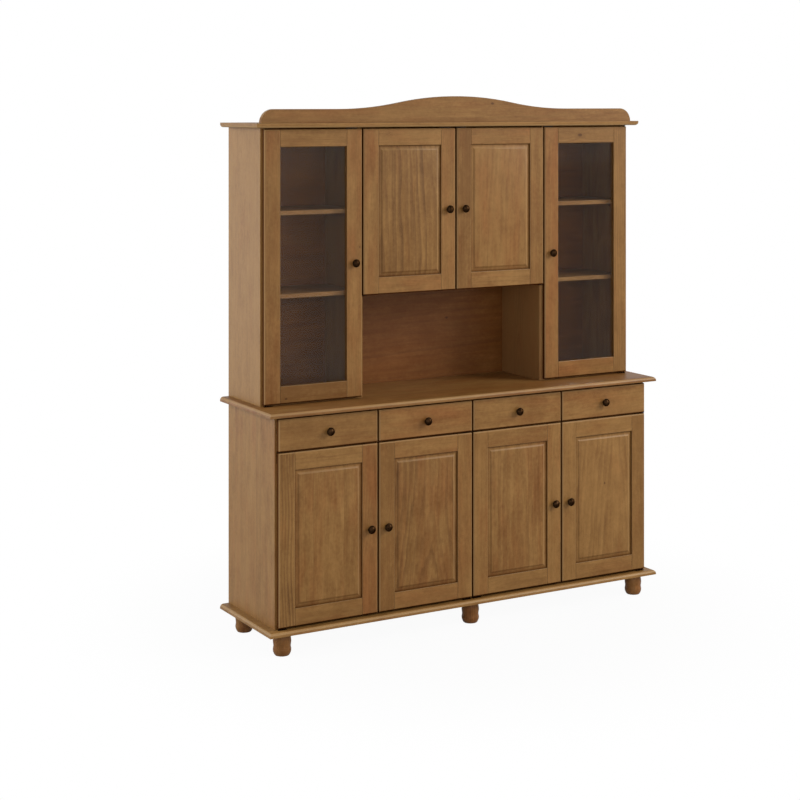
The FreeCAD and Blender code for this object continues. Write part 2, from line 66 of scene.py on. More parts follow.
# A node socket that takes part in Python sums, in material trees and in geometry trees
class Sock:
    def __init__(self, tree, out=None):
        self.tree = tree
        self.out = out

    def node(self, kind, settings, inputs, output=0):
        made = self.tree.nodes.new(kind)
        for key, value in settings.items():
            setattr(made, key, value)
        for key, value in inputs.items():
            if isinstance(value, Sock):
                self.tree.links.new(value.out, made.inputs[key])
            else:
                made.inputs[key].default_value = value
        return Sock(self.tree, made.outputs[output] if made.outputs else None)

    def math(self, operation, *values):
        return self.node("ShaderNodeMath", {"operation": operation}, dict(enumerate(values)))

    def __add__(self, other):
        return self.math("ADD", self, other)

    def __radd__(self, other):
        return self.math("ADD", other, self)

    def __sub__(self, other):
        return self.math("SUBTRACT", self, other)

    def __rsub__(self, other):
        return self.math("SUBTRACT", other, self)

    def __mul__(self, other):
        return self.math("MULTIPLY", self, other)

    def __rmul__(self, other):
        return self.math("MULTIPLY", other, self)

    def __truediv__(self, other):
        return self.math("DIVIDE", self, other)

    def __rtruediv__(self, other):
        return self.math("DIVIDE", other, self)

    def __pow__(self, other):
        return self.math("POWER", self, other)

    def __abs__(self):
        return self.math("ABSOLUTE", self)

    def fraction(self):
        return self.math("FRACT", self)

    def whole(self):
        return self.math("FLOOR", self)

    def atLeast(self, low):
        return self.math("MAXIMUM", self, low)

    def atMost(self, high):
        return self.math("MINIMUM", self, high)

    def ramp(self, low, high):
        # smooth step from 0 at low to 1 at high
        return self.node("ShaderNodeMapRange", {"interpolation_type": "SMOOTHSTEP"},
                         {"Value": self, "From Min": low, "From Max": high})

    def blend(self, first, second):
        # colour mix with this socket as its factor
        return self.node("ShaderNodeMix", {"data_type": "RGBA"}, {0: self, 6: first, 7: second}, 2)

    def stretched(self, scale):
        return self.node("ShaderNodeVectorMath", {"operation": "MULTIPLY"}, {0: self, 1: scale})

    def noise(self, scale, detail=2.0, roughness=0.5):
        return self.node("ShaderNodeTexNoise", {}, {"Vector": self.stretched(scale), "Scale": 1.0,
                                                    "Detail": detail, "Roughness": roughness}, "Fac")

    def cellNoise(self, x, y, output):
        # one random value or colour for each whole x and y
        return self.node("ShaderNodeTexWhiteNoise", {"noise_dimensions": "2D"},
                         {"Vector": self.joined(x, y, 0.0)}, output)

    def attribute(self, name, output="Vector"):
        return self.node("ShaderNodeAttribute", {"attribute_name": name}, {}, output)

    def joined(self, x, y, z):
        return self.node("ShaderNodeCombineXYZ", {}, {0: x, 1: y, 2: z})

    def parts(self):
        split = self.tree.nodes.new("ShaderNodeSeparateXYZ")
        self.tree.links.new(self.out, split.inputs[0])
        return [Sock(self.tree, out) for out in split.outputs]


def newMaterial(name):
    material = bpy.data.materials.new(name)
    material.use_nodes = True
    material.node_tree.nodes.clear()
    return material, Sock(material.node_tree)


def putOut(net, surface):
    net.node("ShaderNodeOutputMaterial", {}, {"Surface": surface})


# Pine under a honey-brown stain. Each board carries its own measures as attributes:
# grain = metres along, across and into the board from its middle, size = half its length, width and
# thickness, board = tone, redness and strength of the lines, cut = width of a growth ring, width of a
# glued stave and how far the heart lies to one side, figure = start in the tree, taper and sway of the
# rings, knot = place along and across and its radius, then the strength of painted shade on the side faces
# and in the rim, arris = how far a face is paled by wear and a painted highlight, below 0 how far it takes
# painted shade, rise = height over the front's lower edge, along which shade is painted.
pineLook = {
    "light": (0.285, 0.150, 0.046, 1),
    "dark": (0.150, 0.066, 0.015, 1),
    "red": (0.258, 0.105, 0.029, 1),
    "redDark": (0.128, 0.041, 0.006, 1),
    "line": (0.100, 0.040, 0.009, 1),
    "lineDark": (0.055, 0.019, 0.004, 1),
    # painted shade colour of gaps, rims, down-looking faces and lower edges
    "deep": (0.050, 0.0125, 0.0025, 1),
    # paler colour of arrises: wear and a painted highlight
    "worn": (0.400, 0.250, 0.110, 1),
    "rub": 0.46,
    "roughness": 0.42,
    "ior": 1.28,
}

rawLook = {
    "light": (0.560, 0.385, 0.200, 1),
    "dark": (0.430, 0.255, 0.110, 1),
    "red": (0.480, 0.260, 0.120, 1),
    "redDark": (0.360, 0.180, 0.075, 1),
    "line": (0.300, 0.150, 0.055, 1),
    "lineDark": (0.250, 0.120, 0.045, 1),
    "deep": (0.200, 0.100, 0.040, 1),
    "worn": (0.600, 0.430, 0.240, 1),
    "rub": 0.2,
    "roughness": 0.60,
    "ior": 1.30,
}

# The wood's own figure, the same under every stain. A noise has its scale along, across and into the
# board, its detail and its roughness; the other lengths are metres.
woodNoise = {
    "sway": ((1.6, 5.0, 5.0), 1.0),
    "ripple": ((9.0, 26.0, 26.0), 1.0),
    "jitter": ((0.0, 55.0, 55.0), 1.0),
    "fibre": ((22.0, 420.0, 420.0), 3.0, 0.65),
    "pores": ((55.0, 330.0, 330.0), 2.0, 0.5),
    "streak": ((3.2, 58.0, 58.0), 3.0, 0.6),
    "cloud": ((11.0, 19.0, 19.0), 3.0, 0.55),
    "mottle": ((75.0, 85.0, 85.0), 2.0),
    "warm": ((4.5, 20.0, 20.0), 3.0, 0.55),
}

woodFigure = {
    "seam": 0.0012,                # width of a glue line
    "staveApart": 31.0,            # how far apart in the tree two staves are cut
    "heartApart": 0.009,
    "heartDepth": 0.020,
    "depthApart": 0.02,
    "knotLong": 0.62,              # below 1 a knot is longer along the board
    "knotReach": (0.6, 5.0),       # in radii of the knot
    "knotCore": (0.55, 1.15),
    "knotPush": 1.4,
    "sway": 0.060,
    "ripple": 0.006,
    "jitter": 1.1,                 # in rings
    "lateWood": (0.15, 0.88),      # where in a ring the dark line starts and peaks
    "ringOwn": 1.1,
    "ringLeast": 0.25,
    "pores": (0.58, 0.72),
}

# How strongly the stain takes by noise, and where shade is painted dark: metres from the front, the back and
# the rim
stainDepth = {"streak": 1.0, "cloud": 1.15, "fibre": 0.75, "mottle": 0.65, "pores": 0.16, "stave": 0.20,
              "middle": 0.40, "range": (-0.25, 1.15), "warmMiddle": 0.45, "warm": 2.6}
lineDepth = {"late": 0.55, "seam": 0.40, "knot": 0.75}
paintedShadeLook = {"front": (0.0022, 0.0050), "back": (0.004, 0.001), "rim": (0.009, 0.018), "slope": -0.60,
              "lowerEdge": (0.0020, 0.0068), "lower": 0.62, "roughness": 0.9}
woodRelief = {"late": -0.6, "seam": -1.5, "strength": 0.10, "distance": 0.0004, "fibreGloss": 0.16,
              "lateGloss": 0.05}


def pineMaterial(name, look):
    material, net = newMaterial(name)
    along, across, depth = net.attribute("grain").parts()
    halfLength, halfWidth, halfThickness = net.attribute("size").parts()
    tone, redness, lines = net.attribute("board").parts()
    ringWidth, staveWidth, heart = net.attribute("cut").parts()
    start, taper, swirl = net.attribute("figure").parts()
    knotAlong, knotAcross, knotSize = net.attribute("knot").parts()
    edgeShadeStrength, rimShadeStrength, _ = net.attribute("care").parts()
    arris = net.attribute("arris", "Fac")
    rise = net.attribute("rise", "Fac")

    # wide boards are glued up from staves, each cut from another place in a tree
    place = across / staveWidth + 0.5
    shift, side, shade = net.cellNoise(place.whole(), start, "Color").parts()
    seamDistance = (0.5 - abs(place.fraction() - 0.5)) * staveWidth
    seam = 1.0 - seamDistance.ramp(0.0, woodFigure["seam"])
    u = along + start + shift * woodFigure["staveApart"]
    v = across + heart + (side - 0.5) * (woodFigure["heartApart"] / staveWidth)
    w = depth + woodFigure["heartDepth"] + shade * woodFigure["depthApart"]
    cut = net.joined(u, v, w)

    # a knot pushes the rings aside
    knotFar = ((along - knotAlong) * woodFigure["knotLong"]) ** 2.0 + (across - knotAcross) ** 2.0
    knotFar = knotFar ** 0.5 / knotSize
    pushed = (1.0 - knotFar.ramp(*woodFigure["knotReach"])) * knotSize
    knot = 1.0 - knotFar.ramp(*woodFigure["knotCore"])

    # growth rings round the heart, with the tree's taper and sway
    sway = (cut.noise(*woodNoise["sway"]) - 0.5) * woodFigure["sway"] * swirl
    sway = sway + (cut.noise(*woodNoise["ripple"]) - 0.5) * woodFigure["ripple"]
    radius = (v * v + w * w) ** 0.5 + u * taper + sway + pushed * woodFigure["knotPush"]
    ring = radius / ringWidth + (cut.noise(*woodNoise["jitter"]) - 0.5) * woodFigure["jitter"]
    phase = ring.fraction()
    ringOwn = net.cellNoise(ring.whole(), start, "Value") * woodFigure["ringOwn"] + woodFigure["ringLeast"]
    lateStart, latePeak = woodFigure["lateWood"]
    late = phase.ramp(lateStart, latePeak) * (1.0 - phase.ramp(latePeak, 1.0)) * lines * ringOwn

    fibre = cut.noise(*woodNoise["fibre"])
    pores = cut.noise(*woodNoise["pores"]).ramp(*woodFigure["pores"])
    streak = cut.noise(*woodNoise["streak"])
    cloud = cut.noise(*woodNoise["cloud"])
    mottle = cut.noise(*woodNoise["mottle"])
    warm = cut.noise(*woodNoise["warm"])

    # painted shade: the colour is darkened on sawn side faces in the gaps, in the rim round a panel, on what
    # looks down and along a front's lower edge, where shade falls
    front = depth + halfThickness
    backStart, backEnd = [halfThickness * 2.0 - inset for inset in paintedShadeLook["back"]]
    edge = front.ramp(*paintedShadeLook["front"]) * (1.0 - front.ramp(backStart, backEnd))
    rimFar = (halfLength - abs(along)).atMost(halfWidth - abs(across))
    rim = 1.0 - rimFar.ramp(*paintedShadeLook["rim"])
    under = (arris * paintedShadeLook["slope"]).atLeast(0.0)
    under = under + (1.0 - rise.ramp(*paintedShadeLook["lowerEdge"])) * paintedShadeLook["lower"]
    paintedShade = (edge * edgeShadeStrength + rim * rimShadeStrength + under).atMost(1.0)

    stain = (streak - 0.5) * stainDepth["streak"] + (cloud - 0.5) * stainDepth["cloud"]
    stain = stain + (fibre - 0.5) * stainDepth["fibre"] + (mottle - 0.5) * stainDepth["mottle"]
    stain = stain + pores * stainDepth["pores"] + tone + (shade - 0.5) * stainDepth["stave"]
    stain = (stain + stainDepth["middle"]).ramp(*stainDepth["range"])
    reddish = stain.blend(look["red"], look["redDark"])
    base = stain.blend(look["light"], look["dark"])
    warmth = ((warm - stainDepth["warmMiddle"]) * stainDepth["warm"] + redness).atLeast(0.0).atMost(1.0)
    base = warmth.blend(base, reddish)
    line = stain.blend(look["line"], look["lineDark"])
    lineShare = (late * lineDepth["late"] + seam * lineDepth["seam"] + knot * lineDepth["knot"]).atMost(1.0)
    base = lineShare.blend(base, line)
    # arrises are paler, partly by wear and partly as a painted highlight
    base = (arris.atLeast(0.0) * look["rub"]).blend(base, look["worn"])
    # the painted shade laid over the colour
    base = paintedShade.blend(base, look["deep"])
    height = late * woodRelief["late"] + fibre + seam * woodRelief["seam"]
    bump = net.node("ShaderNodeBump", {}, {
        "Strength": woodRelief["strength"], "Distance": woodRelief["distance"], "Height": height})
    roughness = look["roughness"] + (fibre - 0.5) * woodRelief["fibreGloss"] + late * woodRelief["lateGloss"]
    waxed = net.node("ShaderNodeBsdfPrincipled", {}, {
        "Base Color": base, "Normal": bump, "IOR": look["ior"], "Roughness": roughness})
    # where shade is painted the surface turns matt as well, so it holds no reflection
    matt = net.node("ShaderNodeBsdfPrincipled", {}, {
        "Base Color": base, "Roughness": paintedShadeLook["roughness"], "Specular IOR Level": 0.0})
    putOut(net, net.node("ShaderNodeMixShader", {}, {0: paintedShade, 1: waxed, 2: matt}))
    return material


pine = pineMaterial("pineStained", pineLook)
rawPine = pineMaterial("pineRaw", rawLook)

# Dark bronze of knobs, hinge plates and screws
bronzeLook = {
    "low": (0.016, 0.0075, 0.0032, 1),
    "high": (0.040, 0.020, 0.0090, 1),
    "tint": (0.30, 0.18, 0.10, 1),
    "metallic": 1.0,
    "roughness": 0.38,
    "patches": ((110.0, 110.0, 110.0), 3.0),
    "patchEdge": (0.38, 0.72),
    "uneven": 0.2,
}


def bronzeMaterial(look):
    material, net = newMaterial("darkBronze")
    place = net.node("ShaderNodeTexCoord", {}, {}, "Object")
    patches = place.noise(*look["patches"])
    base = patches.ramp(*look["patchEdge"]).blend(look["low"], look["high"])
    surface = net.node("ShaderNodeBsdfPrincipled", {}, {
        "Base Color": base, "Metallic": look["metallic"], "Specular Tint": look["tint"],
        "Roughness": look["roughness"] + (patches - 0.5) * look["uneven"]})
    putOut(net, surface)
    return material


bronze = bronzeMaterial(bronzeLook)

# Brown plastic of sockets, glides and catches
plasticLook = {
    "low": (0.040, 0.022, 0.014, 1),
    "high": (0.055, 0.032, 0.021, 1),
    "speck": (1400.0, 1400.0, 1400.0),
    "roughness": 0.45,
    "uneven": 0.1,
    "strength": 0.1,
    "distance": 0.0002,
}


def plasticMaterial(look):
    material, net = newMaterial("brownPlastic")
    place = net.node("ShaderNodeTexCoord", {}, {}, "Object")
    speck = place.noise(look["speck"])
    bump = net.node("ShaderNodeBump", {}, {
        "Strength": look["strength"], "Distance": look["distance"], "Height": speck})
    surface = net.node("ShaderNodeBsdfPrincipled", {}, {
        "Base Color": speck.blend(look["low"], look["high"]), "Normal": bump,
        "Roughness": look["roughness"] + speck * look["uneven"]})
    putOut(net, surface)
    return material


plastic = plasticMaterial(plasticLook)

glassLook = {
    "tint": (0.985, 0.985, 0.98, 1),
    "gloss": (0.95, 0.96, 0.97, 1),
    "roughness": 0.03,
    "ior": 1.45,
    "share": 0.28,
}


def glassMaterial(look):
    material, net = newMaterial("paneGlass")
    clear = net.node("ShaderNodeBsdfTransparent", {}, {"Color": look["tint"]})
    gloss = net.node("ShaderNodeBsdfGlossy", {}, {"Color": look["gloss"], "Roughness": look["roughness"]})
    edge = net.node("ShaderNodeFresnel", {}, {"IOR": look["ior"]})
    putOut(net, net.node("ShaderNodeMixShader", {}, {0: edge * look["share"], 1: clear, 2: gloss}))
    return material


glass = glassMaterial(glassLook)
print("materials made")

# The solids of a CAD node, each as a list of faces, from left to right and then upwards. Touching
# solids can share corners, so faces are only followed across edges that join exactly two of them.
weldDistance = 0.000002
flatAngle = 0.01


def solidsOf(node):
    mesh = bmesh.new()
    mesh.from_mesh(frame["nodes"][node].data)
    bmesh.ops.remove_doubles(mesh, verts=mesh.verts, dist=weldDistance)
    mesh.faces.ensure_lookup_table()
    seen = set()
    solids = []
    for first in mesh.faces:
        if first in seen:
            continue
        seen.add(first)
        front = [first]
        faces = []
        while front:
            face = front.pop()
            faces.append([vert.co.copy() for vert in face.verts])
            for edge in face.edges:
                if len(edge.link_faces) != 2:
                    continue
                for other in edge.link_faces:
                    if other not in seen:
                        seen.add(other)
                        front.append(other)
        solids.append(faces)
    mesh.free()
    return sorted(solids, key=lambda faces: [round(boxOf(faces)[0][k], 3) for k in (0, 2, 1)])


def boxOf(faces):
    corners = [co for face in faces for co in face]
    low = Vector([min(co[k] for co in corners) for k in range(3)])
    high = Vector([max(co[k] for co in corners) for k in range(3)])
    return low, high


def meshOf(faces):
    # one closed bmesh from loose faces, flat areas joined up again
    mesh = bmesh.new()
    for corners in faces:
        mesh.faces.new([mesh.verts.new(co) for co in corners])
    bmesh.ops.remove_doubles(mesh, verts=mesh.verts, dist=weldDistance)
    bmesh.ops.dissolve_limit(mesh, angle_limit=flatAngle, verts=mesh.verts, edges=mesh.edges)
    bmesh.ops.recalc_face_normals(mesh, faces=mesh.faces)
    return mesh


# How each board is cut, drawn from these ranges where boardChoices says nothing
boardRange = {
    "ring": (0.0060, 0.0120),
    "stave": (0.090, 0.125),
    "heart": (-0.05, 0.05),
    "lines": (0.08, 0.34),
    "redness": (-0.35, 0.25),
    "taper": (0.012, 0.040),
    "swirl": (0.6, 1.4),
    "start": (0, 90),
}
drawnFirst = ("redness", "lines", "ring", "heart", "taper", "swirl")
boardRules = {
    "glued": 0.12,         # boards from this width on are glued up from staves
    "slope": 0.93,         # a face whose normal has no larger part is a sloping one
    "downward": -0.3,      # a sloping face looks down where its normal reaches lower than this
    "noEdge": 1.0,         # where no lower edge has shade painted along it, it counts as this far down
}
onePlank = 2.0             # a stave wider than any board
noKnot = (9.0, 9.0, 0.001)  # far off every board


def addBoard(mesh, spread, axis=None, choice=None, chamferWearAndHighlight=1.0):
    # writes the board's own coordinates and measures on its corners
    keys = ("grain", "size", "board", "cut", "figure", "knot", "care")
    layers = {key: mesh.verts.layers.float_vector.new(key) for key in keys}
    low = Vector([min(vert.co[k] for vert in mesh.verts) for k in range(3)])
    high = Vector([max(vert.co[k] for vert in mesh.verts) for k in range(3)])
    order = sorted(range(3), key=lambda k: low[k] - high[k])
    if axis is not None:
        order = [axis] + [k for k in order if k != axis]
    middle = (low + high) / 2
    half = (high - low) / 2
    glued = 2 * half[order[1]] >= boardRules["glued"]
    values = {key: chance.uniform(*boardRange[key]) for key in drawnFirst}
    values["tone"] = chance.uniform(-spread, spread)
    values["start"] = chance.uniform(*boardRange["start"])
    values["stave"] = chance.uniform(*boardRange["stave"]) if glued else onePlank
    values["edge"] = 0.0
    values["rim"] = 0.0
    values.update(choice or {})
    values["tone"] += values.get("darker", 0.0)
    knot = noKnot
    if "knot" in values:
        spot = Vector((values["knot"][0], middle.y, values["knot"][1])) - middle
        knot = (spot[order[0]], spot[order[1]], values["knot"][2])
    for vert in mesh.verts:
        own = vert.co - middle
        vert[layers["grain"]] = [own[k] for k in order]
        vert[layers["size"]] = [half[k] for k in order]
        vert[layers["board"]] = (values["tone"], values["redness"], values["lines"])
        vert[layers["cut"]] = (values["ring"], values["stave"], values["heart"])
        vert[layers["figure"]] = (values["start"], values["taper"], values["swirl"])
        vert[layers["knot"]] = knot
        vert[layers["care"]] = (values["edge"], values["rim"], 0.0)
    rise = mesh.verts.layers.float.new("rise")
    for vert in mesh.verts:
        vert[rise] = vert.co.z - values.get("level", low.z - boardRules["noEdge"])
    # flat faces take the board's painted light, if it has one; chamfers and nosings are paler, partly by
    # wear and partly as a painted highlight; on a front those that look down take painted shade instead
    arris = mesh.faces.layers.float.new("arris")
    for face in mesh.faces:
        if max(abs(part) for part in face.normal) >= boardRules["slope"]:
            face[arris] = values.get("pale", 0.0)
        elif values["edge"] and face.normal.z < boardRules["downward"]:
            face[arris] = -1.0
        else:
            face[arris] = chamferWearAndHighlight


# Softened edges: their width on each kind of piece
softEdge = {"board": 0.0008, "front": 0.0011, "box": 0.0005, "catch": 0.0004, "fitting": 0.0003,
            "segments": 3, "angle": math.radians(38)}


def joinInto(data, parts):
    # parts are bmeshes, which this uses up
    joined = bmesh.new()
    for part in parts:
        step = bpy.data.meshes.new("step")
        part.to_mesh(step)
        joined.from_mesh(step)
        bpy.data.meshes.remove(step)
        part.free()
    joined.to_mesh(data)
    joined.free()


def newPiece(name, data, body, sharp):
    data.polygons.foreach_set("use_smooth", [True] * len(data.polygons))
    data.set_sharp_from_angle(angle=sharp)
    piece = bpy.data.objects.new(name, data)
    bpy.context.scene.collection.objects.link(piece)
    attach(piece, body)
    return piece


def addObject(name, parts, material, body, bevel=0.0):
    data = bpy.data.meshes.new(name)
    joinInto(data, parts)
    data.materials.append(material)
    piece = newPiece(name, data, body, softEdge["angle"])
    if bevel:
        soft = piece.modifiers.new("softEdges", "BEVEL")
        soft.width = bevel
        soft.segments = softEdge["segments"]
        soft.limit_method = "ANGLE"
        soft.angle_limit = softEdge["angle"]
        soft.harden_normals = True
        soft.use_clamp_overlap = False
    return piece


toneSpread = {"board": 0.10, "foot": 0.08}


def woodPiece(node, body, bevel=softEdge["board"], axis=None, care=None, material=pine):
    # the node's boards in pine, each with its own cut and tone, edges softened
    parts = []
    solids = solidsOf(node)
    for faces in solids:
        low, high = boxOf(faces)
        choice = dict(care or {})
        # a front's lowest point, along which shade is painted
        if care:
            choice["level"] = min(boxOf(other)[0].z for other in solids)
        for x, z, values in boardChoices.get(node, ()):
            if low.x < x < high.x and low.z < z < high.z:
                choice.update(values)
        mesh = meshOf(faces)
        addBoard(mesh, toneSpread["board"], axis, choice)
        parts.append(mesh)
    piece = addObject(node + "_wood", parts, material, body, bevel)
    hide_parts(node)


# Boards with a character of their own: a point inside the board, across and up, and what differs.
# A knot is its place across and up and its radius; darker adds to the tone that was drawn or given.
straightLines = {"ring": 0.0125, "lines": 1.0, "heart": 0.30, "tone": 0.0, "redness": -0.2, "taper": 0.004}
boardChoices = {
    "base_door_1_frame": [
        (-0.77, 0.40, straightLines),
        (-0.43, 0.40, {"redness": 0.55, "tone": 0.05}),
        (-0.60, 0.13, {"darker": 0.20})],
    "base_door_1_panel": [
        (-0.60, 0.40, {"lines": 0.12, "redness": 0.0, "tone": 0.10})],
    "base_door_2_frame": [
        (-0.37, 0.40, {"tone": 0.28, "redness": -0.1})],
    "base_door_2_panel": [
        (-0.20, 0.40, {"stave": onePlank, "heart": -0.03, "lines": 0.62, "ring": 0.019, "swirl": 2.4,
                       "taper": 0.10, "redness": 0.1, "tone": 0.18})],
    "base_door_3_frame": [
        (0.035, 0.40, {"darker": 0.08})],
    "base_door_3_panel": [
        (0.20, 0.40, {"stave": 0.098, "lines": 0.30, "ring": 0.017, "tone": 0.05})],
    "base_door_4_frame": [
        (0.77, 0.40, {"darker": 0.11})],
    "base_door_4_panel": [
        (0.60, 0.40, {"heart": -0.055, "stave": onePlank, "lines": 0.50, "ring": 0.020, "taper": 0.08,
                      "redness": -0.15, "tone": -0.04, "knot": (0.608, 0.461, 0.0035)})],
    "glass_door_right_frame": [
        (0.43, 1.30, {"redness": 0.45}),
        (0.77, 1.30, dict(straightLines, ring=0.011)),
        (0.60, 1.83, {"knot": (0.574, 1.818, 0.007), "lines": 0.8}),
        (0.60, 0.89, {"darker": -0.14})],
    "glass_door_left_frame": [
        (-0.77, 1.30, {"redness": 0.1, "darker": 0.20}),
        (-0.60, 1.82, {"darker": 0.09}),
        (-0.60, 0.88, {"knot": (-0.717, 0.884, 0.004), "tone": 0.34}),
        (-0.43, 1.30, {"knot": (-0.4165, 1.416, 0.003), "darker": -0.06})],
    "hutch_sides": [
        (-0.80, 1.30, {"tone": -0.20, "redness": -0.3, "lines": 0.2})],
    "base_sides": [
        (-0.80, 0.40, {"tone": -0.18, "redness": 0.0, "lines": 0.2})],
    "cupboard_door_left_frame": [
        (-0.37, 1.50, {"darker": 0.12}),
        (-0.20, 1.82, {"darker": -0.18})],
    "cupboard_door_left_panel": [
        (-0.20, 1.50, {"lines": 0.85, "redness": -0.40, "heart": 0.13, "ring": 0.024, "stave": onePlank,
                       "taper": 0.02, "tone": 0.04})],
    "cupboard_door_right_frame": [
        (0.035, 1.50, {"tone": 0.43, "redness": -0.1}),
        (0.37, 1.50, {"darker": 0.10})],
    "cupboard_door_right_panel": [
        (0.20, 1.50, {"lines": 0.40, "redness": 0.1, "heart": -0.10, "ring": 0.020, "stave": onePlank,
                      "taper": 0.05})],
    "drawer_1_front": [
        (-0.60, 0.78, {"tone": 0.21, "redness": -0.15})],
    "drawer_2_front": [
        (-0.20, 0.78, {"darker": 0.10})],
    # the right divider's lighter tone and lighter flat faces are painted light, the light falling on the
    # niche's right wall
    "hutch_dividers": [
        (0.403, 1.30, {"tone": -0.60, "redness": 0.75, "lines": 0.7, "pale": 0.6})],
    "worktop": [
        (0.0, 0.85, {"tone": 0.08, "redness": 0.25})],
    "back_panels": [
        (0.0, 0.40, {"redness": 0.6, "stave": 0.33, "tone": 0.3}),
        (0.0, 1.30, {"redness": 1.0, "stave": 0.33, "tone": 0.34, "lines": 0.5, "ring": 0.03,
                     "knot": (0.1306, 1.0933, 0.005)})],
    "pediment": [
        (0.0, 1.90, {"redness": 0.1, "knot": (0.160, 1.942, 0.005)})],
}

for node in ("plinth_board", "base_sides", "base_dividers", "dust_boards", "worktop", "hutch_sides",
             "hutch_dividers", "hutch_floors", "shelves", "shelf_battens", "cornice_board", "pediment"):
    woodPiece(node, "cabinet")
woodPiece("back_panels", "cabinet", axis=0)

# Raised panels: from the rim inwards the front rises gently and then swells up to the flat field.
# Each step is metres in from the edge and metres above the tongue.
panelProfile = [(0.0, 0.0), (0.009, 0.0006), (0.0190, 0.0013), (0.0204, 0.0016), (0.0218, 0.0024),
                (0.0234, 0.0035), (0.0250, 0.0045), (0.0263, 0.0050), (0.0278, 0.0052)]
panelRules = {"rim": 0.35, "flat": 0.999, "leaning": 0.03, "steep": 0.2}
# painted light and shade on the panel's slopes: darker facing down or left, lighter facing right or up, as
# the key light falls from the upper right
slopeLightAndShade = {"below": -0.42, "left": -0.20, "right": 0.60, "above": 0.40}


def raisedPanel(node, body):
    low, high = boxOf(solidsOf(node)[0])
    mesh = bmesh.new()
    tongue = low.y + panelProfile[-1][1]
    loops = []
    for inset, y in [(0.0, high.y)] + [(inset, tongue - rise) for inset, rise in panelProfile]:
        corners = ((low.x + inset, low.z + inset), (high.x - inset, low.z + inset),
                   (high.x - inset, high.z - inset), (low.x + inset, high.z - inset))
        loops.append([mesh.verts.new((x, y, z)) for x, z in corners])
    mesh.faces.new(loops[0])
    mesh.faces.new(loops[-1])
    for outer, inner in zip(loops, loops[1:]):
        for k in range(4):
            mesh.faces.new((outer[k], outer[k - 1], inner[k - 1], inner[k]))
    bmesh.ops.recalc_face_normals(mesh, faces=mesh.faces)
    # painted shade in the rim round the panel, where the frame stands over it
    choice = {"rim": panelRules["rim"]}
    for _, _, values in boardChoices.get(node, ()):
        choice.update(values)
    addBoard(mesh, toneSpread["board"], 2, choice, 0.0)
    # painted shade on the slopes that look down or left; on the others the steep part gets a painted
    # highlight
    arris = mesh.faces.layers.float["arris"]
    for face in mesh.faces:
        x, y, z = face.normal
        sloping = -panelRules["flat"] < y < 0
        for part, side in ((-z, "below"), (-x, "left"), (x, "right"), (z, "above")):
            if sloping and part > panelRules["leaning"]:
                paintedLightHere = slopeLightAndShade[side] < 0 or part > panelRules["steep"]
                face[arris] = slopeLightAndShade[side] if paintedLightHere else 0.0
    piece = addObject(node + "_raised", [mesh], pine, body)
    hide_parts(node)


doors = [name for name in frame["bodies"] if "_door_" in name]
drawers = [name for name in frame["bodies"] if name.startswith("drawer_")]
# On the fronts the sawn side faces are painted dark: painted shade in the gaps between them
gapEdgeShade = {"edge": 0.88}
for door in doors:
    woodPiece(door + "_frame", door, softEdge["front"], care=gapEdgeShade)
    if door + "_panel" in frame["nodes"]:
        raisedPanel(door + "_panel", door)
for drawer in drawers:
    woodPiece(drawer + "_front", drawer, softEdge["front"], care=gapEdgeShade)
    woodPiece(drawer + "_box", drawer, softEdge["box"], material=rawPine)
print("boards made")


# Geometry trees. A group input or output is made with its name, and values are set by identifier.
def geometryTree(name, sizes):
    tree = bpy.data.node_groups.new(name, "GeometryNodeTree")
    tree.interface.new_socket("Geometry", in_out="INPUT", socket_type="NodeSocketGeometry")
    for key, value in sizes.items():
        kind = "NodeSocketInt" if isinstance(value, int) else "NodeSocketFloat"
        tree.interface.new_socket(key, in_out="INPUT", socket_type=kind).default_value = value
    tree.interface.new_socket("Material", in_out="INPUT", socket_type="NodeSocketMaterial")
    tree.interface.new_socket("Geometry", in_out="OUTPUT", socket_type="NodeSocketGeometry")
    entry = tree.nodes.new("NodeGroupInput")
    named = {out.name: Sock(tree, out) for out in entry.outputs if out.name}
    return tree, Sock(tree), named


def endTree(net, given, shape):
    # the shape stands on every point, its Z axis turned to the point's facing
    facing = net.node("GeometryNodeInputNamedAttribute", {"data_type": "FLOAT_VECTOR"}, {"Name": "facing"})
    stretch = net.node("GeometryNodeInputNamedAttribute", {"data_type": "FLOAT_VECTOR"}, {"Name": "stretch"})
    turn = net.node("FunctionNodeAlignRotationToVector", {"axis": "Z"}, {"Vector": facing})
    placed = net.node("GeometryNodeInstanceOnPoints", {}, {
        "Points": given["Geometry"], "Instance": shape, "Rotation": turn, "Scale": stretch})
    real = net.node("GeometryNodeRealizeInstances", {}, {"Geometry": placed})
    painted = net.node("GeometryNodeSetMaterial", {}, {"Geometry": real, "Material": given["Material"]})
    net.node("NodeGroupOutput", {}, {0: painted})


turnedSharp = math.radians(35)


def runTree(tree, name, places, body, sizes, material):
    # places are (point, direction, stretch) rows; the result is one plain mesh that rides on the body
    points = bpy.data.meshes.new(name + "_points")
    points.from_pydata([row[0] for row in places], [], [])
    for key, column in (("facing", 1), ("stretch", 2)):
        values = points.attributes.new(key, "FLOAT_VECTOR", "POINT")
        values.data.foreach_set("vector", [part for row in places for part in row[column]])
    holder = bpy.data.objects.new(name + "_points", points)
    bpy.context.scene.collection.objects.link(holder)
    layout = holder.modifiers.new("layout", "NODES")
    layout.node_group = tree
    for item in tree.interface.items_tree:
        if item.in_out == "INPUT" and item.name in sizes:
            layout[item.identifier] = sizes[item.name]
        if item.in_out == "INPUT" and item.name == "Material":
            layout[item.identifier] = material
    graph = bpy.context.evaluated_depsgraph_get()
    data = bpy.data.meshes.new_from_object(holder.evaluated_get(graph), depsgraph=graph)
    holder.modifiers.remove(layout)
    bpy.data.objects.remove(holder)
    data.name = name
    return newPiece(name, data, body, turnedSharp)


